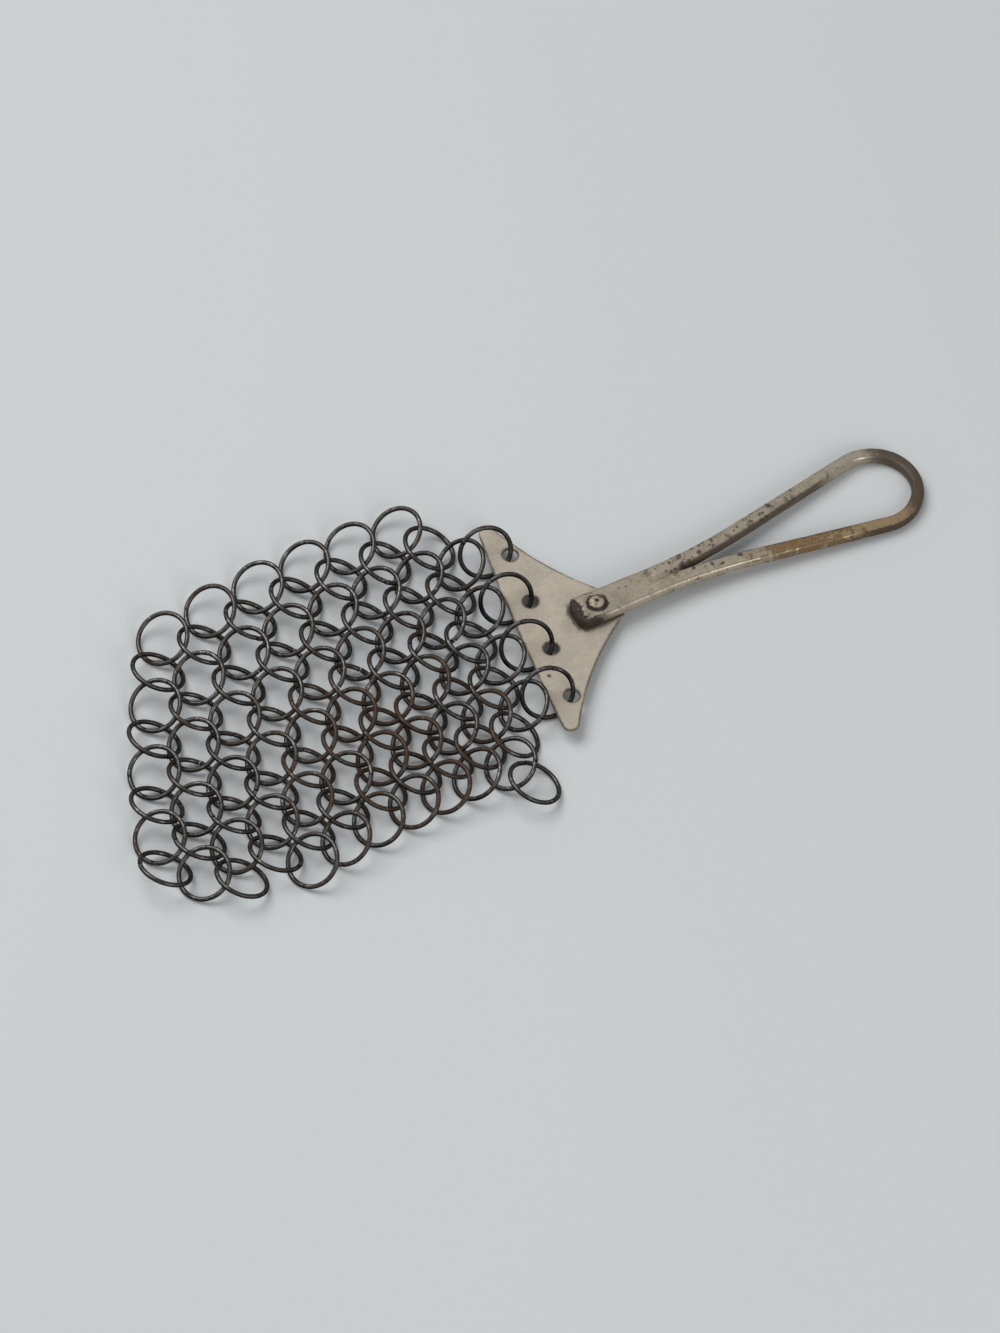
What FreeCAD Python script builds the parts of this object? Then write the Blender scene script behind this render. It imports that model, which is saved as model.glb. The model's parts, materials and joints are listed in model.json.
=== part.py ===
# Pot scrubber: a bar handle bent into a loop, a flared scraper plate riveted under its stem,
# and a sheet of linked wire rings hung from holes along the plate's wide edge.
# Millimetres, +Z up. The scrubber lies on Z = 0 with its length along X, handle toward +X.
import FreeCAD
import Part
import math
import os
from collections import namedtuple

Vector = FreeCAD.Vector
Ring = namedtuple("Ring", "centre normal seam")

# Wire rings
RING_OUTER_DIAMETER = 19.0
WIRE_DIAMETER = 1.6
BUTT_GAP = 0.25

# Mail sheet: the rows lie packed beside the plate, open toward the free end and fan out toward -Y
RING_COUNTS = (4, 6, 6, 5, 6, 5, 6, 5, 6, 5, 6, 5, 6, 5, 5, 4, 3, 3, 2, 1)
LAST_FULL_ROW = 13
RING_PITCH_GAP = 1.3
PACKED_PITCH_IN_RADII = 0.79
OPEN_PITCH_IN_RADII = 0.95
PACKED_TILT = 30.0
OPEN_TILT = 27.0
OPENING_ROW = 8.0
OPENING_SOFTNESS = 1.5
ROW_TURN = 1.5
TURN_ROW = 1.5

# How unevenly the rings lie, at most, in the packed and the open part of the sheet
PACKED_SCATTER = 0.8
OPEN_SCATTER = 0.12
TILT_SCATTER = 6.0
YAW_SCATTER = 12.0
PLACE_SCATTER = 0.6
SCATTER_SEED = 41

# Rings through the plate
LINK_LEAN = 60.0
LINK_REACH_IN_RADII = 1.0

# Scraper plate
PLATE_THICKNESS = 1.0
PLATE_EDGE_WIDTH = 110.0
PLATE_LENGTH = 27.5
PLATE_TONGUE = 8.5
PLATE_EDGE_BOW = 1.5
PLATE_FLANK_RADIUS = 110.0
PLATE_CORNER_RADIUS = 3.0
PLATE_LIFT = 5.0
HOLE_DIAMETER = 5.0
HOLE_SETBACK = 8.0

# Handle
FORK_BAR_WIDTH = 5.6
LOOP_BAR_WIDTH = 4.2
BAR_HEIGHT = 4.2
BAR_CORNER_RADIUS = 1.3
LOOP_INNER_RADIUS = 12.6
HANDLE_REACH = 122.5
STEM_LENGTH = 20.0
STEM_TAIL = 8.5
STEM_END_WIDTH = 11.8
STEM_END_CORNER_RADIUS = 3.5
LIMB_STRAIGHT = 47.5
LIMB_WELD = 0.2
HANDLE_TURN = 9.3

# Rivet
RIVET_SHANK_DIAMETER = 3.6
RIVET_HEAD_DIAMETER = 6.6
RIVET_HEAD_HEIGHT = 1.5
RIVET_TAIL_DIAMETER = 5.6
RIVET_TAIL_HEIGHT = 0.6
RIVET_FIT = 0.05

# Worked out from the sizes above
WIRE_RADIUS = WIRE_DIAMETER / 2
RING_RADIUS = (RING_OUTER_DIAMETER - WIRE_DIAMETER) / 2
RING_PITCH = RING_OUTER_DIAMETER + RING_PITCH_GAP
PACKED_PITCH = PACKED_PITCH_IN_RADII * RING_RADIUS
OPEN_PITCH = OPEN_PITCH_IN_RADII * RING_RADIUS
ROWS = len(RING_COUNTS)
HOLES = RING_COUNTS[0]
LOOP_RADIUS = LOOP_INNER_RADIUS + LOOP_BAR_WIDTH / 2
LOOP_CENTRE_X = HANDLE_REACH - LOOP_RADIUS - LOOP_BAR_WIDTH / 2
LIMB_OFFSET = (FORK_BAR_WIDTH - LIMB_WELD) / 2
STEM_WIDTH = 2 * FORK_BAR_WIDTH - LIMB_WELD
RIVET_HOLE_RADIUS = RIVET_SHANK_DIAMETER / 2 + RIVET_FIT
HOLE_X = HOLE_SETBACK - PLATE_LENGTH


def polar(radius, degrees):
    """Return the point at a radius and an angle from +X in the XY plane."""
    angle = math.radians(degrees)
    return Vector(radius * math.cos(angle), radius * math.sin(angle), 0)


# Resting attitude of the plate and handle


def handle_end_x():
    """Return how far the handle, turned a little on its rivet, reaches along X."""
    return LOOP_CENTRE_X * math.cos(math.radians(HANDLE_TURN)) + HANDLE_REACH - LOOP_CENTRE_X


def rest_tilt():
    """Return the angle in degrees at which the handle slopes down from the lifted plate to the table."""
    lift = PLATE_LIFT + PLATE_THICKNESS
    return math.degrees(math.atan2(lift, handle_end_x() - BAR_CORNER_RADIUS + PLATE_LENGTH))


def rest_placement():
    """Return the placement that lays the flat-built plate and handle on the table."""
    tilt = rest_tilt()
    rise = (handle_end_x() - BAR_CORNER_RADIUS) * math.sin(math.radians(tilt))
    return FreeCAD.Placement(Vector(0, 0, rise), FreeCAD.Rotation(Vector(0, 1, 0), tilt))


def hole_centres():
    """Return the middle of each plate hole as the plate is built, before it is laid down."""
    first = -RING_PITCH * (HOLES - 1) / 2
    return [Vector(HOLE_X, first + RING_PITCH * i, -PLATE_THICKNESS / 2) for i in range(HOLES)]


# Mail sheet


def link_crossing():
    """Return how far a plate ring's centre lies from its hole, and how high above the table."""
    lean = math.radians(LINK_LEAN)
    height = RING_RADIUS * math.sin(lean) + WIRE_RADIUS
    hole = rest_placement().multVec(hole_centres()[0])
    turn = math.asin((hole.z - height) / (RING_RADIUS * math.sin(lean)))
    return Vector(-RING_RADIUS * math.cos(turn), -RING_RADIUS * math.sin(turn) * math.cos(lean), height)


def plate_rings():
    """Return the rings that pass through the plate holes, each leaning on its lower side."""
    lean = math.radians(LINK_LEAN)
    normal = Vector(0, -math.sin(lean), math.cos(lean))
    step = link_crossing()
    rings = []
    for i, flat_hole in enumerate(hole_centres()):
        hole = rest_placement().multVec(flat_hole)
        rings.append(Ring(Vector(hole.x + step.x, hole.y + step.y, step.z), normal, 70.0 + 25.0 * i))
    return rings


def soft_step(value):
    """Return a step that is 0 well below zero and 1 well above it."""
    return 1 / (1 + math.exp(-value / OPENING_SOFTNESS))


def first_row_x():
    """Return the X of the first sheet row, hung in the plate rings."""
    return plate_rings()[0].centre.x - LINK_REACH_IN_RADII * RING_RADIUS


def row_turn(row):
    """Return how far a row is turned from the plate's edge, in radians."""
    return math.radians(ROW_TURN) * max(0, row - TURN_ROW)


def middle_pitch(row):
    """Return the distance from a row to the next along the middle of the sheet."""
    return PACKED_PITCH + (OPEN_PITCH - PACKED_PITCH) * soft_step(row - OPENING_ROW)


def row_middle(row):
    """Return the middle of a row: each row lies square ahead of the one before."""
    middle = Vector(first_row_x(), link_crossing().y, 0)
    for k in range(1, row):
        heading = row_turn(k + 0.5)
        middle += Vector(-math.cos(heading), -math.sin(heading), 0) * middle_pitch(k)
    return middle


def row_direction(row):
    """Return the direction of a row across the sheet, from its -Y to its +Y end."""
    return Vector(-math.sin(row_turn(row)), math.cos(row_turn(row)), 0)


def between(packed, opened, row, across):
    """Return a value between its packed and its open amount, as the sheet lies at a point."""
    pitch = middle_pitch(row) + across * (row_turn(row + 0.5) - row_turn(row - 0.5))
    share = (pitch - PACKED_PITCH) / (OPEN_PITCH - PACKED_PITCH)
    return packed + (opened - packed) * min(1, max(0, share))


def uneven(row, place, kind):
    """Return a fixed number from -1 to 1 that differs from ring to ring without a pattern."""
    return 2 * (math.sin(row * 12.9898 + place * 78.233 + kind * 37.719 + SCATTER_SEED) * 4375.85 % 1) - 1


def row_places(row):
    """Return the distances across the sheet of a row's rings, from the +Y end."""
    first = (HOLES - 1) / 2 if row == 1 else (HOLES + row % 2) / 2
    first -= max(0, row - LAST_FULL_ROW) // 2
    return [(first - i) * RING_PITCH for i in range(RING_COUNTS[row - 1])]


def mail_row(row):
    """Return the rings of one row of the sheet, each standing on the table and leaning with its row."""
    rings = []
    direction = row_direction(row)
    for i, across in enumerate(row_places(row)):
        scatter = between(PACKED_SCATTER, OPEN_SCATTER, row, across)
        tilt = between(PACKED_TILT, OPEN_TILT, row, across) + TILT_SCATTER * scatter * uneven(row, i, 1)
        yaw = FreeCAD.Rotation(Vector(0, 0, 1), YAW_SCATTER * scatter * uneven(row, i, 2))
        lean = FreeCAD.Rotation(yaw.multVec(direction), -tilt if row % 2 else tilt)
        nudge = Vector(PLACE_SCATTER * scatter * uneven(row, i, 3), 0, 0)
        height = RING_RADIUS * math.sin(math.radians(tilt)) + WIRE_RADIUS
        centre = row_middle(row) + direction * across + nudge + Vector(0, 0, height)
        rings.append(Ring(centre, lean.multVec(Vector(0, 0, 1)), 137.5 * (7 * row + i)))
    return rings


def ring_solid(ring):
    """Return one butted wire ring, open by the butt gap at its seam."""
    gap = math.degrees(BUTT_GAP / RING_RADIUS)
    wire = Part.makeTorus(RING_RADIUS, WIRE_RADIUS, Vector(), Vector(0, 0, 1), 0, 360, 360 - gap)
    wire.rotate(Vector(), Vector(0, 0, 1), ring.seam)
    wire.Placement = FreeCAD.Placement(ring.centre, FreeCAD.Rotation(Vector(0, 0, 1), ring.normal)).multiply(
        wire.Placement)
    return wire


# Scraper plate


def plate_outline():
    """Return the plate's outline: bowed wide edge, hollow flanks and a tongue under the stem."""
    half = PLATE_EDGE_WIDTH / 2
    corner = Vector(PLATE_EDGE_BOW - PLATE_LENGTH, half, 0)
    tongue = Vector(PLATE_TONGUE, STEM_WIDTH / 2 - BAR_CORNER_RADIUS, 0)
    chord = tongue - corner
    middle = (corner + tongue) * 0.5
    depth = PLATE_FLANK_RADIUS - math.sqrt(PLATE_FLANK_RADIUS ** 2 - (chord.Length / 2) ** 2)
    inward = Vector(chord.y, -chord.x, 0).normalize()
    hollow = middle + inward * depth
    points = [tongue, hollow, corner]
    mirrored = [Vector(p.x, -p.y, 0) for p in reversed(points)]
    edges = [
        Part.Arc(*points).toShape(),
        Part.Arc(corner, Vector(-PLATE_LENGTH, 0, 0), mirrored[0]).toShape(),
        Part.Arc(*mirrored).toShape(),
        Part.LineSegment(mirrored[-1], tongue).toShape(),
    ]
    return Part.Wire(edges)


def scraper_plate():
    """Return the plate with its hole row and rivet hole, top face at Z = 0 as built."""
    sheet = Part.Face(plate_outline()).extrude(Vector(0, 0, -PLATE_THICKNESS))
    corners = [e for e in sheet.Edges if abs(e.tangentAt(e.FirstParameter).z) > 0.5
               and abs(e.CenterOfMass.y) > PLATE_EDGE_WIDTH / 4]
    plate = sheet.makeFillet(PLATE_CORNER_RADIUS, corners)
    deep = 3 * PLATE_THICKNESS
    for centre in hole_centres():
        foot = centre - Vector(0, 0, deep / 2)
        plate = plate.cut(Part.makeCylinder(HOLE_DIAMETER / 2, deep, foot))
    rivet_foot = Vector(0, 0, -deep / 2 - PLATE_THICKNESS / 2)
    return plate.cut(Part.makeCylinder(RIVET_HOLE_RADIUS, deep, rivet_foot))


# Handle


def bar_profile(middle, width):
    """Return a rounded bar section in the YZ plane, standing on Z = 0, as a closed wire."""
    r = BAR_CORNER_RADIUS
    y0 = middle.y - width / 2
    y1 = middle.y + width / 2
    corners = [(y1 - r, r, -90), (y1 - r, BAR_HEIGHT - r, 0), (y0 + r, BAR_HEIGHT - r, 90), (y0 + r, r, 180)]
    edges = []
    last = None
    for y, z, start in corners:
        turn = [Vector(0, polar(r, start + d).x, polar(r, start + d).y) for d in (0, 45, 90)]
        arc = [Vector(middle.x, y, z) + p for p in turn]
        if last:
            edges.append(Part.LineSegment(last, arc[0]).toShape())
        edges.append(Part.Arc(*arc).toShape())
        last = arc[2]
    edges.append(Part.LineSegment(last, edges[0].Vertexes[0].Point).toShape())
    return Part.Wire(edges)


def limb_bend_radius():
    """Return the radius at which a limb bends off the stem, so that its straight run meets the round end."""
    run = LOOP_CENTRE_X - STEM_LENGTH
    room = run ** 2 + LIMB_OFFSET ** 2 - LOOP_RADIUS ** 2 - LIMB_STRAIGHT ** 2
    return room / (2 * (LOOP_RADIUS - LIMB_OFFSET))


def limb_path():
    """Return the centre line of one limb: a bend off the stem, a straight run and half the round end."""
    bend = limb_bend_radius()
    hub = Vector(STEM_LENGTH, LIMB_OFFSET + bend, BAR_HEIGHT / 2)
    end = Vector(LOOP_CENTRE_X, 0, BAR_HEIGHT / 2)
    spread = math.degrees(math.atan2(LOOP_RADIUS + bend, LIMB_STRAIGHT) - math.atan2(hub.y, end.x - hub.x))
    arc = [hub + polar(bend, -90 + spread * share) for share in (0, 0.5, 1)]
    turn = [end + polar(LOOP_RADIUS, (90 + spread) * share) for share in (1, 0.5, 0)]
    edges = [
        Part.Arc(*arc).toShape(),
        Part.LineSegment(arc[2], turn[0]).toShape(),
        Part.Arc(*turn).toShape(),
    ]
    return Part.Wire(edges)


def handle_loop():
    """Return the handle: looped bar, widening stem and rivet hole, underside at Z = 0 as built."""
    start = bar_profile(Vector(STEM_LENGTH, LIMB_OFFSET, 0), FORK_BAR_WIDTH)
    finish = bar_profile(Vector(), LOOP_BAR_WIDTH)
    finish.rotate(Vector(), Vector(0, 0, 1), -90)
    finish.translate(Vector(LOOP_CENTRE_X + LOOP_RADIUS, 0, 0))
    limb = limb_path().makePipeShell([start, finish], True, False)
    other_limb = limb.mirror(Vector(), Vector(0, 1, 0))
    fork = bar_profile(Vector(STEM_LENGTH, 0, 0), STEM_WIDTH)
    tail = bar_profile(Vector(-STEM_TAIL, 0, 0), STEM_END_WIDTH)
    stem = Part.makeLoft([tail, fork], True, True)
    r = STEM_END_CORNER_RADIUS
    for side in (1, -1):
        middle = Vector(r - STEM_TAIL, side * (STEM_END_WIDTH / 2 - r), 0)
        low = Vector(-STEM_TAIL, middle.y - (r if side < 0 else 0), 0)
        corner = Part.makeBox(r, r, BAR_HEIGHT, low).cut(Part.makeCylinder(r, BAR_HEIGHT, middle))
        stem = stem.cut(corner)
    handle = stem.fuse([limb, other_limb]).removeSplitter()
    return handle.cut(Part.makeCylinder(RIVET_HOLE_RADIUS, BAR_HEIGHT))


# Rivet


def handle_rivet():
    """Return the rivet: round head on the stem, shank, and a low tail under the plate."""
    top = BAR_HEIGHT
    low = -PLATE_THICKNESS
    shank = RIVET_SHANK_DIAMETER / 2
    head = RIVET_HEAD_DIAMETER / 2
    tail = RIVET_TAIL_DIAMETER / 2
    dome = (head ** 2 + RIVET_HEAD_HEIGHT ** 2) / (2 * RIVET_HEAD_HEIGHT)
    centre = top + RIVET_HEAD_HEIGHT - dome
    half_turn = math.asin(head / dome) / 2
    on_dome = Vector(dome * math.sin(half_turn), 0, centre + dome * math.cos(half_turn))
    crown = Vector(0, 0, top + RIVET_HEAD_HEIGHT)
    points = [
        Vector(head, 0, top), Vector(shank, 0, top), Vector(shank, 0, low), Vector(tail, 0, low),
        Vector(tail, 0, low - RIVET_TAIL_HEIGHT), Vector(0, 0, low - RIVET_TAIL_HEIGHT), crown,
    ]
    edges = [Part.LineSegment(p, q).toShape() for p, q in zip(points, points[1:])]
    edges.append(Part.Arc(crown, on_dome, points[0]).toShape())
    return Part.Face(Part.Wire(edges)).revolve(Vector(), Vector(0, 0, 1), 360)


# Assembly


def ring_half_size(ring, axis):
    """Return how far a ring reaches from its centre along an axis."""
    slope = ring.normal.dot(axis)
    return RING_RADIUS * math.sqrt(max(0.0, 1 - slope * slope)) + WIRE_RADIUS


def base_centre(rows):
    """Return the middle of the scrubber's footprint on the table."""
    rings = [ring for row in rows for ring in row]
    low_x = min(r.centre.x - ring_half_size(r, Vector(1, 0, 0)) for r in rings)
    low_y = min(r.centre.y - ring_half_size(r, Vector(0, 1, 0)) for r in rings)
    high_y = max(r.centre.y + ring_half_size(r, Vector(0, 1, 0)) for r in rings)
    high_x = rest_placement().multVec(Vector(handle_end_x(), 0, BAR_HEIGHT / 2)).x
    return Vector((low_x + high_x) / 2, (low_y + high_y) / 2, 0)


def main():
    """Build every node and write it to its own file."""
    rows = [mail_row(row) for row in range(1, ROWS + 1)]
    shift = base_centre(rows) * -1
    rest = rest_placement()
    nodes = {"scraper_plate": scraper_plate(), "handle_loop": handle_loop(), "handle_rivet": handle_rivet()}
    nodes["handle_loop"].rotate(Vector(), Vector(0, 0, 1), HANDLE_TURN)
    for shape in nodes.values():
        shape.Placement = rest.multiply(shape.Placement)
    nodes["plate_rings"] = Part.makeCompound([ring_solid(ring) for ring in plate_rings()])
    for number, rings in enumerate(rows, 1):
        nodes["mail_row_%02d" % number] = Part.makeCompound([ring_solid(ring) for ring in rings])
    os.makedirs("parts", exist_ok=True)
    for name, shape in nodes.items():
        shape.translate(shift)
        shape.exportStep("parts/%s.step" % name)
        print(name, len(shape.Solids), shape.isValid(), round(shape.Volume, 1))


if __name__ == "__main__":
    main()
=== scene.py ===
"""Looks of a pot scrubber: linked wire rings, a scraper plate, a looped bar handle and its rivet."""

import json
import logging
import math
from dataclasses import dataclass
from enum import Enum

import bmesh
import bpy
import numpy as np
from mathutils import Matrix, Quaternion, Vector, bvhtree, kdtree, noise


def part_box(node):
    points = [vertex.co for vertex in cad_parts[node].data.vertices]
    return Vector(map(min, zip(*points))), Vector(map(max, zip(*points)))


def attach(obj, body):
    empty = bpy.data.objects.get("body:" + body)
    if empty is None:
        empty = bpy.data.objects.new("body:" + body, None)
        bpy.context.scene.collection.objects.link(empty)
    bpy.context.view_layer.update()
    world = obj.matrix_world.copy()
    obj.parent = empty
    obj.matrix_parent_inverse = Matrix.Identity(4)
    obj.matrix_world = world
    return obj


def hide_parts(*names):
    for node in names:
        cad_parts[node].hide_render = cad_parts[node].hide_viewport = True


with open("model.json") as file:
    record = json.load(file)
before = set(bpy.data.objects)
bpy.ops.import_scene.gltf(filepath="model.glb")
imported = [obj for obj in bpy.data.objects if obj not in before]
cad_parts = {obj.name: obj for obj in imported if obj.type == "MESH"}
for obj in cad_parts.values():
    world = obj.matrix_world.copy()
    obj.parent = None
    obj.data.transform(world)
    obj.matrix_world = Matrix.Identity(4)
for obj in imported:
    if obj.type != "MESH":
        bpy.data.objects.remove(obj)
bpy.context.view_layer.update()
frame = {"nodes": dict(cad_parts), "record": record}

LOG = logging.getLogger("scrubber")
MM = 0.001
IMAGE_WIDTH = 1000
IMAGE_HEIGHT = 1333
BEND_SIZE = 1 / 60
MOST_SIDE_CORNERS = 4

Colour = tuple[float, float, float]
Range = tuple[float, float]


class Slot(Enum):
    """The record's material slots."""

    PLATE = "plate_steel"
    HANDLE = "handle_steel"
    RIVET = "rivet_steel"
    RING = "ring_wire"


class Mark(Enum):
    """Attributes that a piece carries for its finish."""

    EDGE = "edge_distance"
    PAINTED_SHADE = "painted_shade"
    ALONG = "along"
    SIDE = "side"
    INNER = "inner"
    UP = "up"
    TONE = "ring_tone"
    TURN = "ring_turn"


class Value:
    """A node's output that plain arithmetic can use."""

    def __init__(self, tree: "Tree", socket: bpy.types.NodeSocket) -> None:
        """Keep the socket and the tree that its maths goes into."""
        self.tree = tree
        self.socket = socket

    def __add__(self, other: "Value | float") -> "Value":
        """Add a value or a number."""
        return self.tree.maths("ADD", self, other)

    def __sub__(self, other: "Value | float") -> "Value":
        """Take a value or a number away."""
        return self.tree.maths("SUBTRACT", self, other)

    def __rsub__(self, other: float) -> "Value":
        """Take this value away from a number."""
        return self.tree.maths("SUBTRACT", other, self)

    def __mul__(self, other: "Value | float") -> "Value":
        """Multiply by a value or a number."""
        return self.tree.maths("MULTIPLY", self, other)

    def __truediv__(self, other: "Value | float") -> "Value":
        """Divide by a value or a number."""
        return self.tree.maths("DIVIDE", self, other)

    def __rtruediv__(self, other: float) -> "Value":
        """Divide a number by this value."""
        return self.tree.maths("DIVIDE", other, self)

    __radd__ = __add__
    __rmul__ = __mul__

    def beside(self, output: str) -> "Value":
        """Return another output of the same node."""
        return Value(self.tree, self.socket.node.outputs[output])


class Tree:
    """A node tree that is written as Python expressions."""

    def __init__(self, tree: bpy.types.NodeTree) -> None:
        """Take over an empty node tree."""
        self.tree = tree

    def feed(self, socket: bpy.types.NodeSocket, value: object) -> None:
        """Link a value to a socket, or set a plain number, colour or object on it.

        Args:
            socket: The socket to feed.
            value: A Value, or what the socket's own field takes.
        """
        if isinstance(value, Value):
            self.tree.links.new(value.socket, socket)
        elif socket.type == "RGBA":
            socket.default_value = (*value, 1.0)
        else:
            socket.default_value = value

    def add(self, kind: str, settings: dict | None = None, sockets: dict | None = None) -> bpy.types.Node:
        """Add any node.

        Args:
            kind: The node's type.
            settings: Fields that are set on the node first.
            sockets: Values or numbers for its inputs, by name or number.

        Returns:
            The node.
        """
        made = self.tree.nodes.new(kind)
        for name, value in (settings or {}).items():
            setattr(made, name, value)
        for key, value in (sockets or {}).items():
            self.feed(made.inputs[key], value)
        return made

    def node(self, kind: str, settings: dict | None = None, sockets: dict | None = None,
             output: int | str = 0) -> Value:
        """Add any node and return one of its outputs."""
        return Value(self, self.add(kind, settings, sockets).outputs[output])

    def maths(self, operation: str, *values: "Value | float") -> Value:
        """Add a Math node and return its result."""
        return self.node("ShaderNodeMath", {"operation": operation}, dict(enumerate(values)))

    def most(self, first: Value, *others: "Value | float") -> Value:
        """Return the highest of some values.

        Args:
            first: The first value.
            others: The values or numbers that it is compared with.

        Returns:
            The highest of them at each point.
        """
        for other in others:
            first = self.maths("MAXIMUM", first, other)
        return first

    def height(self, vector: Value) -> Value:
        """Return the Z part of a vector."""
        return self.node("ShaderNodeSeparateXYZ", None, {0: vector}, "Z")


@dataclass(frozen=True)
class Speckle:
    """Round specks, one in some of the cells that fill a space.

    The spread is how far a speck fills its cell, and the core is the solid share of it.
    """

    cell: float
    chance: float
    spread: float
    core: float = 0.6
    ragged: float = 0.5
    ragged_size: float = 0.4
    lot_edge: float = 0.02


class Surface(Tree):
    """The material of one finish."""

    def __init__(self, name: str) -> None:
        """Start a material with one shader.

        Args:
            name: The material's name.
        """
        self.material = bpy.data.materials.new(name)
        self.material.use_nodes = True
        super().__init__(self.material.node_tree)
        self.tree.nodes.clear()
        self.shader = self.add("ShaderNodeBsdfPrincipled")
        self.add("ShaderNodeOutputMaterial", None, {"Surface": Value(self, self.shader.outputs[0])})
        self.place = self.node("ShaderNodeTexCoord", output="Object")

    def set(self, **sockets: "Value | float | Colour") -> None:
        """Feed the shader's sockets, named with _ in place of spaces."""
        for name, value in sockets.items():
            self.feed(self.shader.inputs[name.replace("_", " ")], value)

    def grain(self, size: float, detail: float = 4.0, rough: float = 0.55, twist: float = 0.0) -> Value:
        """Return soft noise.

        Args:
            size: The size of its blotches in metres.
            detail: How many finer layers it has.
            rough: How strong the finer layers are.
            twist: How far it is stirred.

        Returns:
            A value about 0.5.
        """
        return self.node("ShaderNodeTexNoise", None,
                         {"Vector": self.place, "Scale": 1 / size, "Detail": detail,
                          "Roughness": rough, "Distortion": twist})

    def step(self, value: Value, low: float, high: float) -> Value:
        """Return 0 below the low limit, 1 above the high one and a smooth rise between them."""
        return self.node("ShaderNodeMapRange", {"interpolation_type": "SMOOTHSTEP"},
                         {0: value, 1: low, 2: high, 3: 0.0, 4: 1.0})

    def away(self, point: Vector) -> Value:
        """Return the distance from a point in metres."""
        return self.node("ShaderNodeVectorMath", {"operation": "DISTANCE"},
                         {0: self.place, 1: tuple(point)}, "Value")

    def near(self, point: Vector, reach: float, core: float = 0.0) -> Value:
        """Return 1 at a point, falling to 0 at its reach."""
        return 1 - self.step(self.away(point), core, reach)

    def mark(self, name: Mark) -> Value:
        """Return an attribute of the piece."""
        return self.node("ShaderNodeAttribute", {"attribute_name": name.value}, output="Fac")

    def mix(self, share: "Value | float", first: "Value | Colour", second: "Value | Colour") -> Value:
        """Return a colour between two colours."""
        return self.node("ShaderNodeMix", {"data_type": "RGBA"}, {0: share, 6: first, 7: second}, 2)

    def specks(self, kind: Speckle) -> Value:
        """Return scattered round specks.

        Args:
            kind: How large, how many and how ragged they are.

        Returns:
            1 in a speck and 0 between specks.
        """
        cell = self.node("ShaderNodeTexVoronoi", None, {"Vector": self.place, "Scale": 1 / kind.cell},
                         "Distance")
        lot = self.node("ShaderNodeSeparateColor", None, {0: cell.beside("Color")})
        uneven = cell + (self.grain(kind.cell * kind.ragged_size, 3) - 0.5) * kind.ragged
        spot = 1 - self.step(uneven, kind.spread * kind.core, kind.spread)
        return spot * self.step(lot, 1 - kind.chance, 1 - kind.chance + kind.lot_edge)

    def bump(self, height: Value, distance: float, strength: float = 1.0) -> None:
        """Raise the surface by a height, over a distance in metres."""
        raised = self.node("ShaderNodeBump", None,
                           {"Strength": strength, "Distance": distance, "Height": height})
        self.set(Normal=raised)


@dataclass(frozen=True)
class RingFinish:
    """Darkened steel wire, worn grey above and below and near black on its sides, with a painted highlight on
    top and painted shade on the sides, scuffs and some brown rust.
    """

    dark: Colour = (0.0065, 0.0055, 0.0045)
    grey: Colour = (0.085, 0.080, 0.073)
    scuff: Colour = (0.30, 0.29, 0.275)
    rust: Colour = (0.062, 0.033, 0.018)
    sheen: Colour = (0.30, 0.285, 0.26)
    gloss: float = 0.2
    blotch_size: float = 6 * MM
    scuff_size: float = 1.6 * MM
    rust_size: float = 11 * MM
    rust_reach: float = 60 * MM
    pit_size: float = 0.7 * MM
    dent_size: float = 2.4 * MM
    pit_depth: float = 0.05 * MM
    underside: float = 0.35
    blotch_pull: float = 0.9
    tone_pull: float = 0.3
    tone_rust: float = 0.08
    spot_rust: float = 0.2
    scuff_share: float = 0.7
    rust_share: float = 0.7
    dent_share: float = 0.6
    # Rise from the wire's dark sides to its grey top: rubbing, with a painted highlight on top and painted
    # shade on the sides
    rubbing: Range = (0.2, 0.85)
    scuffing: Range = (0.52, 0.66)
    rusting: Range = (0.54, 0.74)

    def material(self, rust_spot: Vector) -> bpy.types.Material:
        """Return the material.

        Args:
            rust_spot: The middle of the part of the sheet that rusts most.

        Returns:
            The ring wire's material.
        """
        surface = Surface("ring_wire_dark")
        tone = surface.mark(Mark.TONE)
        up = surface.mark(Mark.UP)
        blotch = surface.grain(self.blotch_size, 5, 0.6)
        # Grey where the wire faces up or down and near black on its sides: rubbing, with a painted highlight
        # on the top and painted shade on the sides
        face = surface.most(up, -self.underside - up)
        face = face + self.blotch_pull * (blotch - 0.5) + self.tone_pull * (tone - 0.5)
        rubbed_and_lit = surface.step(face, *self.rubbing)
        scuffed = surface.step(surface.grain(self.scuff_size, 6, 0.7, 0.4), *self.scuffing) * rubbed_and_lit
        spot = surface.near(rust_spot, self.rust_reach)
        rust = surface.grain(self.rust_size, 6, 0.65) + self.spot_rust * spot
        rusted = surface.step(rust + self.tone_rust * tone, *self.rusting)
        body = surface.mix(rubbed_and_lit, self.dark, self.grey)
        body = surface.mix(scuffed * self.scuff_share, body, self.scuff)
        surface.set(Base_Color=surface.mix(rusted * rubbed_and_lit * self.rust_share, body, self.rust),
                    Metallic=rubbed_and_lit * (0.9 - 0.4 * rusted),
                    Roughness=0.62 - 0.42 * rubbed_and_lit + 0.14 * blotch + 0.2 * rusted * rubbed_and_lit,
                    Specular_IOR_Level=self.gloss, Specular_Tint=self.sheen)
        pits = surface.grain(self.pit_size, 4) + self.dent_share * surface.grain(self.dent_size, 3)
        surface.bump(pits, self.pit_depth, 0.6)
        return surface.material


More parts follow.
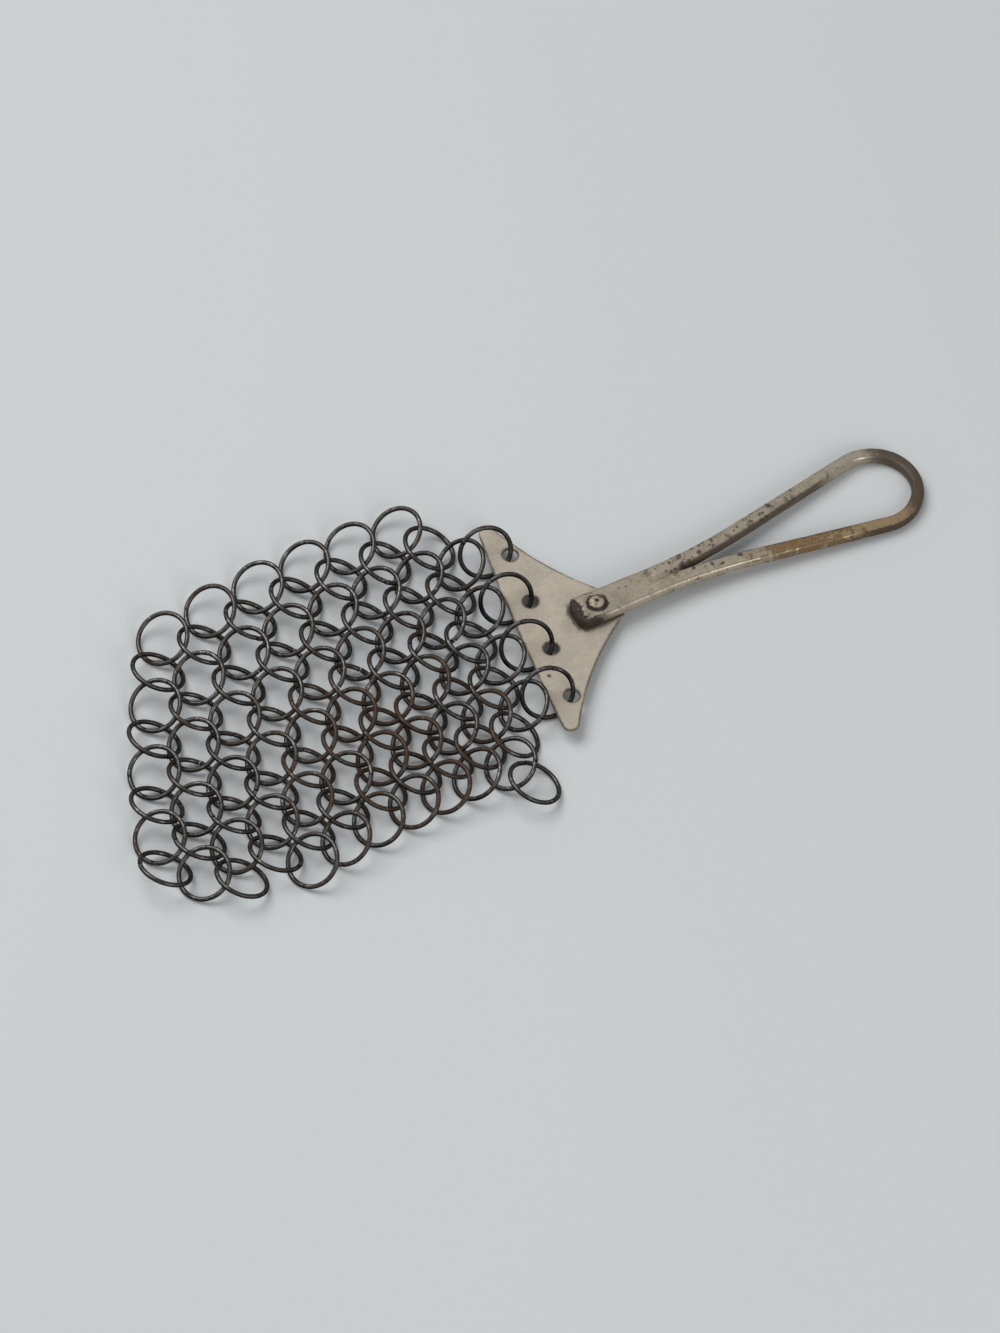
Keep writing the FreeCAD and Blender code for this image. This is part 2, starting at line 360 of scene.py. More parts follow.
@dataclass(frozen=True)
class PlateFinish:
    """Dull tinned steel, with grey bloom, dark specks, a soiled rim whose width is in millimetres, and
    painted shade next to the stem.
    """

    tin: Colour = (0.52, 0.455, 0.360)
    bloom: Colour = (0.43, 0.377, 0.302)
    dirt_and_shade_colour: Colour = (0.075, 0.052, 0.033)
    stain: Colour = (0.29, 0.21, 0.125)
    cloud_size: float = 9 * MM
    fine_size: float = 1.3 * MM
    stain_size: float = 5 * MM
    grain_size: float = 0.6 * MM
    grain_depth: float = 0.08 * MM
    specks: Speckle = Speckle(3.6 * MM, 0.12, 0.2)
    stain_share: float = 0.4
    rim_share: float = 0.8
    stem_shade_share: float = 0.9
    speck_share: float = 0.9
    rim_ragged: float = 1.2
    stem_shade_ragged: float = 0.7
    blooming: Range = (0.4, 0.62)
    staining: Range = (0.58, 0.76)
    rim_width: Range = (0.3, 0.95)
    rim_breaks: Range = (0.30, 0.52)
    stem_shading: Range = (0.3, 0.8)

    def material(self) -> bpy.types.Material:
        """Return the material.

        Returns:
            The plate's material.
        """
        surface = Surface("plate_tinned")
        cloud = surface.grain(self.cloud_size, 5, 0.6)
        fine = surface.grain(self.fine_size, 5, 0.6)
        stained = surface.step(surface.grain(self.stain_size, 6, 0.7, 0.6), *self.staining)
        body = surface.mix(surface.step(0.6 * cloud + 0.4 * fine, *self.blooming), self.tin, self.bloom)
        body = surface.mix(stained * self.stain_share, body, self.stain)
        inside = surface.step(surface.mark(Mark.EDGE) + (fine - 0.5) * self.rim_ragged, *self.rim_width)
        rim = (1 - inside) * surface.step(cloud, *self.rim_breaks)
        # Painted shade on the plate beside the stem, with ragged edges
        stem_shade = surface.step(surface.mark(Mark.PAINTED_SHADE) + (fine - 0.5) * self.stem_shade_ragged, *self.stem_shading)
        specks = surface.specks(self.specks)
        # Soiled rim and specks, and the painted shade beside the stem, all in one dark colour
        dirt_and_shade = surface.most(rim * self.rim_share, stem_shade * self.stem_shade_share, specks * self.speck_share)
        surface.set(Base_Color=surface.mix(dirt_and_shade, body, self.dirt_and_shade_colour),
                    Metallic=0.42 - 0.32 * dirt_and_shade,
                    Roughness=0.46 + 0.18 * cloud + 0.2 * dirt_and_shade)
        surface.bump(surface.grain(self.grain_size, 4) * 0.5 + cloud - dirt_and_shade * 0.4, self.grain_depth, 0.5)
        return surface.material


@dataclass(frozen=True)
class HandleFinish:
    """Worn tinned steel that turns to brown and orange rust along the loop and black at the stem's end, with
    painted shade on the limbs' inner faces.

    Starts and ends are in millimetres along the handle from the rivet, and sides in millimetres across it.
    Ragged widths are in millimetres too.
    """

    tin: Colour = (0.46, 0.395, 0.300)
    bloom: Colour = (0.31, 0.260, 0.195)
    gold: Colour = (0.36, 0.245, 0.115)
    orange: Colour = (0.155, 0.072, 0.022)
    brown: Colour = (0.062, 0.044, 0.030)
    black: Colour = (0.018, 0.013, 0.010)
    gloss: float = 0.25
    cloud_size: float = 7 * MM
    fine_size: float = 1.1 * MM
    ragged_size: float = 1.6 * MM
    rust_size: float = 4.5 * MM
    wear_depth: float = 0.12 * MM
    small_specks: Speckle = Speckle(1.7 * MM, 0.5, 0.42)
    large_specks: Speckle = Speckle(3.2 * MM, 0.4, 0.36)
    limb_rust: float = 0.165
    gold_share: float = 0.8
    under_share: float = 0.9
    orange_share: float = 0.85
    rim_share: float = 0.65
    inner_shade_share: float = 0.85
    outside_share: float = 0.95
    loop_share: float = 0.92
    speck_share: float = 0.85
    stray_speck_share: float = 0.08
    crust_share: float = 0.95
    loop_ragged: float = 8.0
    gold_ragged: float = 30.0
    end_crust_ragged: float = 12.0
    side_crust_ragged: float = 8.0
    crusted_side_ragged: float = 4.0
    crust_ring_ragged: float = 2.2
    blooming: Range = (0.42, 0.66)
    rusting: Range = (0.58, 0.74)
    rim_rise: Range = (0.57, 0.62)
    rim_fall: Range = (0.62, 0.70)
    ring_breaks: Range = (0.58, 0.72)
    facing_in: Range = (0.3, 0.6)
    facing_out: Range = (0.5, 0.75)
    facing_down: Range = (0.15, 0.55)
    facing_up: Range = (0.0, 0.5)
    end_crust_end: Range = (-6.2, -4.6)
    side_crust_end: Range = (-2.0, 3.0)
    speck_start: Range = (14, 26)
    limb_start: Range = (22, 34)
    gold_start: Range = (45, 75)
    rust_start: Range = (54, 66)
    speck_end: Range = (70, 96)
    rust_end: Range = (84, 98)
    outside_start: Range = (84, 98)
    inner_shade_end: Range = (88, 98)
    loop_start: Range = (107, 115)
    far_side: Range = (-1.5, 1.5)
    speckled_side: Range = (-3, 1)
    crusted_side: Range = (-5.0, -4.0)
    crust_ring: Range = (4.2, 4.7)

    def material(self, rivet: Vector) -> bpy.types.Material:
        """Return the material.

        Args:
            rivet: The middle of the rivet.

        Returns:
            The handle's material.
        """
        surface = Surface("handle_rusted")
        along = surface.mark(Mark.ALONG)
        side = surface.mark(Mark.SIDE)
        inner = surface.mark(Mark.INNER)
        up = surface.mark(Mark.UP)
        cloud = surface.grain(self.cloud_size, 5, 0.6)
        fine = surface.grain(self.fine_size, 6, 0.65)
        ragged = surface.grain(self.ragged_size, 5, 0.7) - 0.5
        limbs = surface.step(along, *self.limb_start)
        near_limb = limbs * (1 - surface.step(side, *self.far_side))
        loop_end = surface.step(along + self.loop_ragged * ragged, *self.loop_start)

        # Bloomed tin, golden along the near limb
        body = surface.mix(surface.step(0.55 * cloud + 0.45 * fine, *self.blooming), self.tin, self.bloom)
        golden = near_limb * surface.step(along + self.gold_ragged * ragged, *self.gold_start)
        body = surface.mix(golden * self.gold_share, body, self.gold)

        # Orange rust under the near limb and in patches, which have a brown rim
        under = near_limb * surface.step(ragged - up, *self.facing_down)
        middle = surface.step(along, *self.rust_start) * (1 - surface.step(along, *self.rust_end)) * near_limb
        rust = surface.grain(self.rust_size, 8, 0.72, 0.3) + self.limb_rust * middle
        orange = surface.most(surface.step(rust, *self.rusting), under * self.under_share)
        rim = surface.step(rust, *self.rim_rise) * (1 - surface.step(rust, *self.rim_fall))
        body = surface.mix(orange * self.orange_share, body, self.orange)
        body = surface.mix(rim * self.rim_share, body, self.brown)

        # Painted shade in brown on the limbs' inner faces, and brown round the loop's outside and at its end
        inside = surface.step(inner + 0.7 * ragged, *self.facing_in) * limbs
        inside = inside * (1 - surface.step(along, *self.inner_shade_end))
        outside = surface.step(0.6 * ragged - inner, *self.facing_out)
        outside = outside * surface.step(along, *self.outside_start)
        brown = surface.most(inside * self.inner_shade_share, outside * self.outside_share,
                             loop_end * self.loop_share)
        body = surface.mix(brown, body, self.brown)

        # Dark specks, most on the far limb, and a black crust at the stem's end and side and by the rivet
        speckled = surface.step(along, *self.speck_start) * (1 - surface.step(along, *self.speck_end))
        speckled = speckled * surface.step(up, *self.facing_up)
        crowded = self.speck_share * speckled * surface.step(side, *self.speckled_side)
        small = surface.specks(self.small_specks) * (self.stray_speck_share + crowded)
        spots = surface.most(small, surface.specks(self.large_specks) * speckled)
        end = 1 - surface.step(along + self.end_crust_ragged * ragged, *self.end_crust_end)
        lower = 1 - surface.step(side + self.crusted_side_ragged * ragged, *self.crusted_side)
        lower = lower * (1 - surface.step(along + self.side_crust_ragged * ragged, *self.side_crust_end))
        ring = surface.away(rivet) / MM + self.crust_ring_ragged * ragged
        ring = 1 - surface.step(ring, *self.crust_ring)
        ring = ring * surface.step(cloud + 0.4 * fine, *self.ring_breaks)
        crust = surface.most(end, lower, ring)
        dark = surface.most(spots * self.speck_share, crust * self.crust_share)
        dark_colour = surface.mix(fine * (0.9 - 0.6 * crust), self.black, self.brown)

        worn = surface.most(orange, brown, dark)
        surface.set(Base_Color=surface.mix(dark, body, dark_colour),
                    Metallic=0.6 - 0.5 * worn,
                    Roughness=0.26 + 0.14 * cloud + 0.36 * worn - 0.2 * loop_end,
                    Specular_IOR_Level=self.gloss)
        surface.bump(fine * 0.4 + cloud * 0.6 - dark * 0.5 + orange * 0.2, self.wear_depth, 0.6)
        return surface.material


@dataclass(frozen=True)
class RivetFinish:
    """Rusted steel, lighter on the crown, with painted shade darkening it towards its foot and a dark pit in
    the middle of the crown.
    """

    bare: Colour = (0.47, 0.39, 0.28)
    brown: Colour = (0.15, 0.09, 0.05)
    black: Colour = (0.026, 0.019, 0.014)
    cloud_size: float = 2.2 * MM
    fine_size: float = 0.7 * MM
    pit_radius: float = 1.1 * MM
    pit_core: float = 0.5 * MM
    wear_depth: float = 0.1 * MM
    rusting: Range = (0.5, 0.66)
    # Depths below the crown over which the painted shade darkens the head
    rim: Range = (0.45, 0.75)

    def material(self, crown: Vector) -> bpy.types.Material:
        """Return the material.

        Args:
            crown: The top of the rivet.

        Returns:
            The rivet's material.
        """
        surface = Surface("rivet_rusted")
        cloud = surface.grain(self.cloud_size, 5, 0.65)
        fine = surface.grain(self.fine_size, 5, 0.6)
        body = surface.mix(surface.step(cloud, *self.rusting), self.bare, self.brown)
        # Painted shade, darker below the crown towards the rivet's foot, and the dark pit at the crown's
        # middle
        rim = surface.step(surface.mark(Mark.PAINTED_SHADE) + (fine - 0.5) * 0.5, *self.rim)
        dark = surface.most(rim, surface.near(crown, self.pit_radius, self.pit_core))
        surface.set(Base_Color=surface.mix(dark, body, self.black),
                    Metallic=0.5 - 0.35 * dark,
                    Roughness=0.42 + 0.3 * cloud)
        surface.bump(fine + cloud, self.wear_depth, 0.6)
        return surface.material


@dataclass(frozen=True)
class RingPlace:
    """Where one ring sits: its centre, and its turn from flat with the seam on +X."""

    centre: Vector
    turn: Quaternion


class RingTree(Tree):
    """Geometry nodes that bend a wire ring at each point of a row."""

    def __init__(self) -> None:
        """Build the tree, from a butted arc to the finished wire."""
        super().__init__(bpy.data.node_groups.new("butted_wire_rings", "GeometryNodeTree"))
        self.sockets: dict[str, str] = {}
        points = self._input("Points", "NodeSocketGeometry")
        radius = self._input("Ring Radius", "NodeSocketFloat")
        wire = self._input("Wire Radius", "NodeSocketFloat")
        gap = self._input("Butt Gap", "NodeSocketFloat")
        offset = self._input("End Offset", "NodeSocketFloat")
        bend = self._input("Bend", "NodeSocketFloat")
        steps = self._input("Ring Steps", "NodeSocketInt")
        sides = self._input("Wire Sides", "NodeSocketInt")
        seed = self._input("Seed", "NodeSocketInt")
        finish = self._input("Finish", "NodeSocketMaterial")
        self.tree.interface.new_socket(name="Rings", in_out="OUTPUT", socket_type="NodeSocketGeometry")

        # A butted arc whose two ends are a little out of line
        opened = gap / radius
        arc = self.node("GeometryNodeCurveArc", {"mode": "RADIUS"},
                        {"Resolution": steps, "Radius": radius, "Start Angle": opened * 0.5,
                         "Sweep Angle": math.tau - opened})
        share = self.node("GeometryNodeSplineParameter", output="Factor")
        lift = self.node("ShaderNodeCombineXYZ", None, {"Z": (share - 0.5) * 2.0 * offset})
        arc = self.node("GeometryNodeSetPosition", None, {"Geometry": arc, "Offset": lift})
        # One arc at each point, turned as its ring is, with a tone of its own
        turn = self.node("GeometryNodeInputNamedAttribute", {"data_type": "QUATERNION"},
                         {"Name": Mark.TURN.value})
        rings = self.node("GeometryNodeInstanceOnPoints", None,
                          {"Points": points, "Instance": arc, "Rotation": turn})
        chance = self.node("FunctionNodeRandomValue", {"data_type": "FLOAT"}, {"Seed": seed}, 1)
        rings = self.node("GeometryNodeStoreNamedAttribute", {"data_type": "FLOAT", "domain": "INSTANCE"},
                          {"Geometry": rings, "Name": Mark.TONE.value, "Value": chance})
        rings = self.node("GeometryNodeRealizeInstances", None, {"Geometry": rings})
        # Slight bends, the round section, and nothing below the floor
        place = self.node("GeometryNodeInputPosition")
        stir = self.node("ShaderNodeTexNoise", {"noise_dimensions": "4D"},
                         {"Vector": place, "W": seed, "Scale": 1 / BEND_SIZE, "Detail": 1.0}, "Color")
        stir = self.node("ShaderNodeVectorMath", {"operation": "SUBTRACT"}, {0: stir, 1: (0.5, 0.5, 0.5)})
        stir = self.node("ShaderNodeVectorMath", {"operation": "SCALE"}, {0: stir, "Scale": bend})
        rings = self.node("GeometryNodeSetPosition", None, {"Geometry": rings, "Offset": stir})
        section = self.node("GeometryNodeCurvePrimitiveCircle", {"mode": "RADIUS"},
                            {"Resolution": sides, "Radius": wire})
        rings = self.node("GeometryNodeCurveToMesh", None,
                          {"Curve": rings, "Profile Curve": section, "Fill Caps": True})
        floor = self.node("ShaderNodeCombineXYZ", None, {"Z": self.most(0.0 - self.height(place), 0.0)})
        rings = self.node("GeometryNodeSetPosition", None, {"Geometry": rings, "Offset": floor})
        # The way each side faces, and smooth sides with flat cut ends
        up = self.height(self.node("GeometryNodeInputNormal"))
        rings = self.node("GeometryNodeStoreNamedAttribute", {"data_type": "FLOAT", "domain": "POINT"},
                          {"Geometry": rings, "Name": Mark.UP.value, "Value": up})
        corners = self.node("GeometryNodeInputMeshFaceNeighbors", output="Vertex Count")
        round_side = self.maths("LESS_THAN", corners, MOST_SIDE_CORNERS + 0.5)
        rings = self.node("GeometryNodeSetShadeSmooth", {"domain": "FACE"},
                          {"Geometry": rings, "Shade Smooth": round_side})
        rings = self.node("GeometryNodeRealizeInstances", None, {"Geometry": rings})
        rings = self.node("GeometryNodeSetMaterial", None, {"Geometry": rings, "Material": finish})
        self.add("NodeGroupOutput", None, {0: rings})

    def _input(self, name: str, kind: str) -> Value:
        """Add a named input.

        Args:
            name: The input's name.
            kind: The type of its socket.

        Returns:
            The input's value.
        """
        item = self.tree.interface.new_socket(name=name, in_out="INPUT", socket_type=kind)
        self.sockets[name] = item.identifier
        return self.node("NodeGroupInput", output=name)

    def rings(self, places: list[RingPlace], name: str, sizes: dict[str, object]) -> bpy.types.Object:
        """Make the rings of one row as a plain mesh.

        Args:
            places: Where the rings sit.
            name: The name of the piece.
            sizes: Values of the tree's inputs, by name.

        Returns:
            The finished piece, at the origin.
        """
        mesh = bpy.data.meshes.new(name + "_points")
        mesh.from_pydata([place.centre for place in places], [], [])
        turns = mesh.attributes.new(Mark.TURN.value, "QUATERNION", "POINT")
        for item, place in zip(turns.data, places):
            item.value = place.turn
        seed_points = bpy.data.objects.new(name + "_points", mesh)
        bpy.context.scene.collection.objects.link(seed_points)
        modifier = seed_points.modifiers.new("Rings", "NODES")
        modifier.node_group = self.tree
        for key, value in sizes.items():
            modifier[self.sockets[key]] = value
        made = baked(seed_points, name)
        bpy.data.objects.remove(seed_points)
        return made


def baked(source: bpy.types.Object, name: str) -> bpy.types.Object:
    """Turn an object with modifiers into a plain mesh.

    Args:
        source: The object, linked to the scene.
        name: The name of the new piece.

    Returns:
        A new object at the origin with no modifiers.
    """
    graph = bpy.context.evaluated_depsgraph_get()
    mesh = bpy.data.meshes.new_from_object(source.evaluated_get(graph), preserve_all_data_layers=True,
                                           depsgraph=graph)
    mesh.name = name
    made = bpy.data.objects.new(name, mesh)
    bpy.context.scene.collection.objects.link(made)
    return made


def vertices(mesh: bpy.types.Mesh) -> np.ndarray:
    """Read the vertices of a mesh.

    Args:
        mesh: The mesh.

    Returns:
        One row of three numbers for each vertex.
    """
    flat = np.empty(len(mesh.vertices) * 3)
    mesh.vertices.foreach_get("co", flat)
    return flat.reshape(-1, 3)


def groups(mesh: bpy.types.Mesh) -> list[np.ndarray]:
    """Find the connected patches of a mesh.

    Args:
        mesh: The mesh.

    Returns:
        The vertex numbers of each patch.
    """
    ends = np.empty(len(mesh.edges) * 2, int)
    mesh.edges.foreach_get("vertices", ends)
    first, second = ends.reshape(-1, 2).T
    # Each vertex takes the lowest label beside it until nothing changes
    label = np.arange(len(mesh.vertices))
    while True:
        lower = label.copy()
        np.minimum.at(lower, first, label[second])
        np.minimum.at(lower, second, label[first])
        lower = lower[lower]
        if (lower == label).all():
            break
        label = lower
    order = np.argsort(label, kind="stable")
    cuts = np.flatnonzero(np.diff(label[order])) + 1
    return np.split(order, cuts)


def rivet_crown() -> Vector:
    """Return the top of the rivet."""
    low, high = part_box("handle_rivet")
    return Vector(((low.x + high.x) / 2, (low.y + high.y) / 2, high.z))


def dress(piece: bpy.types.Object, body: str, node: str) -> bpy.types.Object:
    """Put a finished piece on its body in place of its solid.

    Args:
        piece: The finished piece.
        body: The body that it rides on.
        node: The solid that it stands for.

    Returns:
        The piece.
    """
    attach(piece, body)
    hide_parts(node)
    return piece


@dataclass
class MailSheet:
    """The linked wire rings, row by row, each row on its own body."""

    butt_gap: float = 0.25 * MM
    end_offset: float = 0.10 * MM
    bend: float = 0.12 * MM
    ring_steps: int = 72
    wire_sides: int = 12
    off_plane_weight: float = 10.0
    rust_spot: tuple[float, float, float] = (-0.052, -0.030, 0.005)

    def build(self) -> list[bpy.types.Object]:
        """Make every row of rings and put it on its body.

        Returns:
            One piece for each row.
        """
        finish = RingFinish().material(Vector(self.rust_spot))
        tree = RingTree()
        made = []
        for seed, (body, nodes) in enumerate(frame["record"]["behaviour"]["bodies"].items()):
            if len(nodes) > 1:  # the handle's body, which has no rings
                continue
            node = nodes[0]
            places, radius, wire = self.read_row(frame["nodes"][node].data)
            sizes = {"Ring Radius": radius, "Wire Radius": wire, "Butt Gap": self.butt_gap,
                     "End Offset": self.end_offset, "Bend": self.bend, "Ring Steps": self.ring_steps,
                     "Wire Sides": self.wire_sides, "Seed": seed, "Finish": finish}
            made.append(dress(tree.rings(places, node + "_wire", sizes), body, node))
        return made

    def read_row(self, mesh: bpy.types.Mesh) -> tuple[list[RingPlace], float, float]:
        """Read the rings of a row from its solids.

        Args:
            mesh: The mesh of the row's solids.

        Returns:
            The rings' places, their radius at the middle of the wire, and the wire's radius.
        """
        points = vertices(mesh)
        patches = groups(mesh)
        # A ring's solid is one large patch round the wire and two small ones at its butted ends
        largest = max(len(patch) for patch in patches)
        bodies = [points[patch] for patch in patches if len(patch) > largest / 2]
        caps = np.array([points[patch].mean(0) for patch in patches if len(patch) <= largest / 2])
        places, radii, wires = [], [], []
        for body in bodies:
            centre = body.mean(0)
            normal = np.linalg.svd(body - centre, full_matrices=False)[2][2]
            height = (body - centre) @ normal
            outer = np.linalg.norm(body - centre - np.outer(height, normal), axis=1).max()
            wire = (height.max() - height.min()) / 2
            off_circle = np.abs(np.linalg.norm(caps - centre, axis=1) - (outer - wire))
            off_plane = np.abs((caps - centre) @ normal)
            ends = caps[np.argsort(off_circle + self.off_plane_weight * off_plane)[:2]]
            seam = Vector(ends.mean(0) - centre).normalized()
            up = Vector(normal)
            up = up if up.z > 0 else -up
            across = up.cross(seam).normalized()
            turn = Matrix((across.cross(up), across, up)).transposed().to_quaternion()
            places.append(RingPlace(Vector(centre), turn))
            radii.append(outer - wire)
            wires.append(wire)
        return places, float(np.median(radii)), float(np.median(wires))


@dataclass
class WornSolid:
    """A solid whose corners are worn round and whose faces are a little uneven."""

    node: str
    slot: Slot
    voxel: float
    rubbing: int
    dent: float
    dent_size: float
    body: str = "handle"
    rub_share: float = 0.5
    joining_distance: float = 1e-6

    def build(self, finish: bpy.types.Material) -> bpy.types.Object:
        """Make the worn piece and put it on its body.

        Args:
            finish: The material of the piece.

        Returns:
            The finished piece.
        """
        source = self.merged()
        source.modifiers.new("Even", "REMESH").voxel_size = self.voxel
        rub = source.modifiers.new("Rub", "SMOOTH")
        rub.iterations = self.rubbing
        rub.factor = self.rub_share
        piece = baked(source, self.node + "_worn")
        bpy.data.objects.remove(source)
        self.unevenness(piece.data)
        self.marks(piece.data)
        piece.data.shade_smooth()
        piece.data.materials.clear()
        piece.data.materials.append(finish)
        return dress(piece, self.body, self.node)

    def closed_shape(self) -> bmesh.types.BMesh:
        """Copy the solid's shape with its patches joined.

        Returns:
            The copy, which is freed after use.
        """
        shape = bmesh.new()
        shape.from_mesh(frame["nodes"][self.node].data)
        bmesh.ops.remove_doubles(shape, verts=shape.verts, dist=self.joining_distance)
        return shape

    def merged(self) -> bpy.types.Object:
        """Copy the solid as an object with its patches joined.

        Returns:
            The copy, linked to the scene.
        """
        shape = self.closed_shape()
        mesh = bpy.data.meshes.new(self.node + "_merged")
        shape.to_mesh(mesh)
        shape.free()
        source = bpy.data.objects.new(self.node + "_merged", mesh)
        bpy.context.scene.collection.objects.link(source)
        return source

    def unevenness(self, mesh: bpy.types.Mesh) -> None:
        """Push the faces in and out a little, as rolled and worn metal is.

        Args:
            mesh: The mesh of the worn piece.
        """
        fade, gap, layers = 0.8, 2.0, 3
        moved = []
        for vertex in mesh.vertices:
            depth = noise.fractal(vertex.co / self.dent_size, fade, gap, layers)
            moved.extend(vertex.co + vertex.normal * (self.dent * max(-1.0, min(1.0, depth))))
        mesh.vertices.foreach_set("co", moved)
        mesh.update()

    def store(self, mesh: bpy.types.Mesh, mark: Mark, values: list[float]) -> None:
        """Keep a number for each vertex of the piece."""
        mesh.attributes.new(mark.value, "FLOAT", "POINT").data.foreach_set("value", values)

    def marks(self, mesh: bpy.types.Mesh) -> None:
        """Keep what the piece's finish needs."""


@dataclass
class ScraperPlate(WornSolid):
    """The flared plate, with painted shade next to where the stem lies on it."""

    node: str = "scraper_plate"
    slot: Slot = Slot.PLATE
    voxel: float = 0.34 * MM
    rubbing: int = 3
    dent: float = 0.05 * MM
    dent_size: float = 14 * MM
    shade_reach: float = 1.6 * MM
    sharp: float = 0.5
    edge_step: float = 0.5 * MM

    def marks(self, mesh: bpy.types.Mesh) -> None:
        """Keep how near the plate's edges and the stem lie.

        Args:
            mesh: The mesh of the worn plate.
        """
        edges = self.edge_tree()
        self.store(mesh, Mark.EDGE, [edges.find(v.co)[2] / MM for v in mesh.vertices])
        # How near the stem each point lies, for the painted shade beside it
        stem = frame["nodes"]["handle_loop"].data
        faces = [tuple(face.vertices) for face in stem.polygons]
        tree = bvhtree.BVHTree.FromPolygons(vertices(stem).tolist(), faces)
        away = [tree.find_nearest(v.co)[3] for v in mesh.vertices]
        self.store(mesh, Mark.PAINTED_SHADE, [math.exp(-distance / self.shade_reach) for distance in away])

    def edge_tree(self) -> kdtree.KDTree:
        """Gather points along the solid's sharp edges.

        Returns:
            A search tree of the points.
        """
        shape = self.closed_shape()
        points = []
        for edge in shape.edges:
            if len(edge.link_faces) == 2 and edge.calc_face_angle() > self.sharp:
                start, end = (v.co for v in edge.verts)
                count = 1 + int((end - start).length / self.edge_step)
                points += [start.lerp(end, i / count) for i in range(count)]
        shape.free()
        tree = kdtree.KDTree(len(points))
        for i, point in enumerate(points):
            tree.insert(point, i)
        tree.balance()
        return tree


@dataclass
class HandleLoop(WornSolid):
    """The bar bent into a loop, rusting toward its end."""

    node: str = "handle_loop"
    slot: Slot = Slot.HANDLE
    voxel: float = 0.36 * MM
    rubbing: int = 3
    dent: float = 0.09 * MM
    dent_size: float = 8 * MM
    fork: float = 20 * MM
    loop_setback: float = 16.8 * MM

    def axis(self) -> tuple[Vector, Vector, float]:
        """Find the line from the rivet to the loop's end.

        Returns:
            The rivet's middle, the level direction to the loop's end and the distance.
        """
        low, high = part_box("handle_rivet")
        start = (low + high) / 2
        points = vertices(frame["nodes"][self.node].data)
        reach = points[np.argmax(np.linalg.norm(points - np.array(start), axis=1))]
        along = Vector((reach[0] - start.x, reach[1] - start.y, 0))
        return start, along.normalized(), along.length

    def marks(self, mesh: bpy.types.Mesh) -> None:
        """Keep how far along and across a point lies, and how it faces up and the loop's middle.

        Args:
            mesh: The mesh of the worn handle.
        """
        start, along, length = self.axis()
        aside = Vector((-along.y, along.x, 0))
        spots = [v.co - start for v in mesh.vertices]
        normals = [v.normal.copy() for v in mesh.vertices]
        self.store(mesh, Mark.ALONG, [spot.dot(along) / MM for spot in spots])
        self.store(mesh, Mark.SIDE, [spot.dot(aside) / MM for spot in spots])
        self.store(mesh, Mark.UP, [normal.z for normal in normals])
        inward = []
        for spot, normal in zip(spots, normals):
            middle = along * min(length - self.loop_setback, max(self.fork, spot.dot(along)))
            inward.append(normal.dot((middle - spot).xy.to_3d().normalized()))
        self.store(mesh, Mark.INNER, inward)


@dataclass
class Rivet(WornSolid):
    """The one rivet through stem and plate."""

    node: str = "handle_rivet"
    slot: Slot = Slot.RIVET
    voxel: float = 0.14 * MM
    rubbing: int = 2
    dent: float = 0.06 * MM
    dent_size: float = 2.5 * MM
    rim_depth: float = 1.2 * MM

    def marks(self, mesh: bpy.types.Mesh) -> None:
        """Keep how far below the crown a point lies."""
        top = max(v.co.z for v in mesh.vertices)
        self.store(mesh, Mark.PAINTED_SHADE, [min(1.0, (top - v.co.z) / self.rim_depth) for v in mesh.vertices])


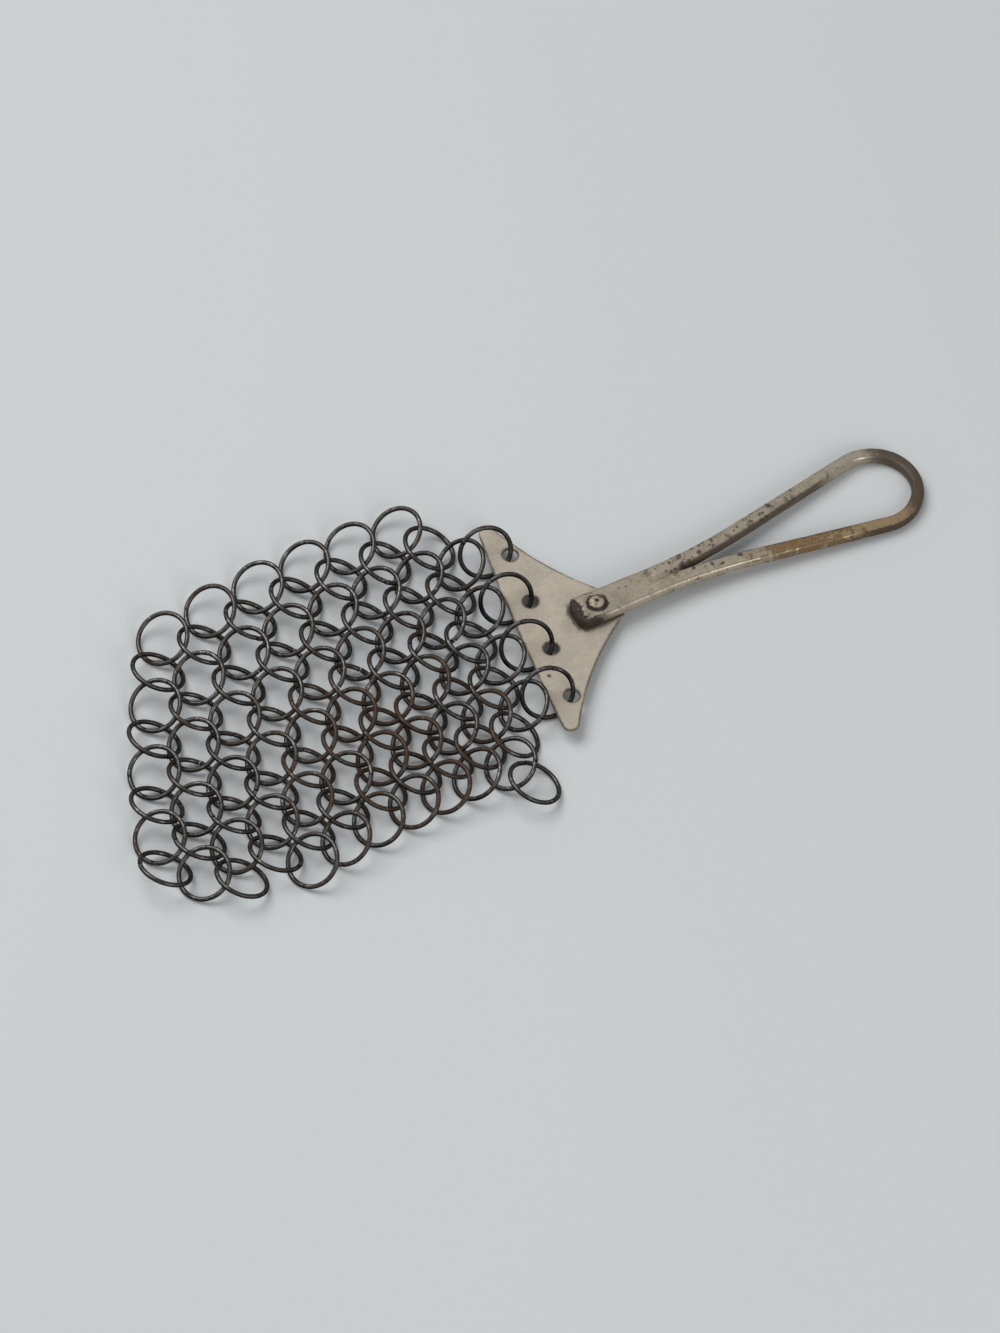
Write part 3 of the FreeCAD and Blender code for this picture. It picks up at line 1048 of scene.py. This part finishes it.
@dataclass
class Studio:
    """Plain pale floor, soft light and the camera."""

    azimuth: float = 340.5
    elevation: float = 54.1
    distance: float = 4.0
    view_depth: float = 100.0
    pixels_per_metre: float = 3030.0
    rivet_pixel: tuple[float, float] = (597.0, 600.0)
    floor_half: float = 4.0
    floor_colour: Colour = (0.62, 0.63, 0.625)
    floor_roughness: float = 0.65
    sky_colour: Colour = (0.90, 0.95, 1.0)
    sky_strength: float = 0.36
    key_place: tuple[float, float, float] = (-0.5, 0.7, 1.5)
    key_size: float = 1.3
    key_power: float = 18.0
    front_place: tuple[float, float, float] = (0.4, -1.5, 0.9)
    front_size: float = 0.9
    front_power: float = 10.8

    def build(self) -> None:
        """Make the floor, the lights, the sky and the camera."""
        bpy.context.scene.view_settings.view_transform = "Standard"
        self.floor()
        self.sky()
        self.lamp("key_softbox", Vector(self.key_place), self.key_size, self.key_power)
        self.lamp("front_softbox", Vector(self.front_place), self.front_size, self.front_power)
        self.camera()

    def floor(self) -> None:
        """Make the floor that the scrubber lies on."""
        mesh = bpy.data.meshes.new("floor")
        half = self.floor_half
        corners = [(-half, -half, 0), (half, -half, 0), (half, half, 0), (-half, half, 0)]
        mesh.from_pydata(corners, [], [(0, 1, 2, 3)])
        surface = Surface("floor_pale")
        surface.set(Base_Color=self.floor_colour, Roughness=self.floor_roughness)
        mesh.materials.append(surface.material)
        floor = bpy.data.objects.new("floor", mesh)
        bpy.context.scene.collection.objects.link(floor)

    def sky(self) -> None:
        """Fill the room with even light."""
        world = bpy.data.worlds.new("room")
        world.use_nodes = True
        light = world.node_tree.nodes["Background"]
        light.inputs["Color"].default_value = (*self.sky_colour, 1.0)
        light.inputs["Strength"].default_value = self.sky_strength
        bpy.context.scene.world = world

    def lamp(self, name: str, place: Vector, size: float, power: float) -> None:
        """Hang a square softbox that faces the object.

        Args:
            name: The lamp's name.
            place: Where it hangs.
            size: The length of its side.
            power: Its power in watts.
        """
        light = bpy.data.lights.new(name, "AREA")
        light.size = size
        light.energy = power
        lamp = bpy.data.objects.new(name, light)
        lamp.location = place
        lamp.rotation_mode = "QUATERNION"
        lamp.rotation_quaternion = (-place).to_track_quat("-Z", "Y")
        bpy.context.scene.collection.objects.link(lamp)

    def camera(self) -> None:
        """Set the camera so that the rivet's crown falls on its pixel."""
        turn, rise = math.radians(self.azimuth), math.radians(self.elevation)
        back = Vector((math.sin(turn) * math.cos(rise), -math.cos(turn) * math.cos(rise), math.sin(rise)))
        right = Vector((0, 0, 1)).cross(back).normalized()
        up = back.cross(right)
        crown = rivet_crown()
        aside = (self.rivet_pixel[0] - IMAGE_WIDTH / 2) / self.pixels_per_metre
        above = (IMAGE_HEIGHT / 2 - self.rivet_pixel[1]) / self.pixels_per_metre
        data = bpy.data.cameras.new("camera")
        data.lens = data.sensor_width * self.distance * self.pixels_per_metre / IMAGE_HEIGHT
        data.clip_end = self.view_depth
        camera = bpy.data.objects.new("camera", data)
        camera.location = crown - right * aside - up * above + back * self.distance
        camera.rotation_mode = "QUATERNION"
        camera.rotation_quaternion = (-back).to_track_quat("-Z", "Y")
        bpy.context.scene.collection.objects.link(camera)
        bpy.context.scene.camera = camera


def main() -> None:
    """Set the studio, dress the scrubber piece by piece and report each piece."""
    logging.basicConfig(level=logging.INFO, format="%(name)s: %(message)s")
    Studio().build()
    pieces = MailSheet().build()
    pieces.append(ScraperPlate().build(PlateFinish().material()))
    handle = HandleLoop()
    rivet_middle = handle.axis()[0]
    pieces.append(handle.build(HandleFinish().material(rivet_middle)))
    pieces.append(Rivet().build(RivetFinish().material(rivet_crown())))
    for piece in pieces:
        LOG.info("%s: %d faces of %s", piece.name, len(piece.data.polygons), piece.data.materials[0].name)


if __name__ == "__main__":
    main()
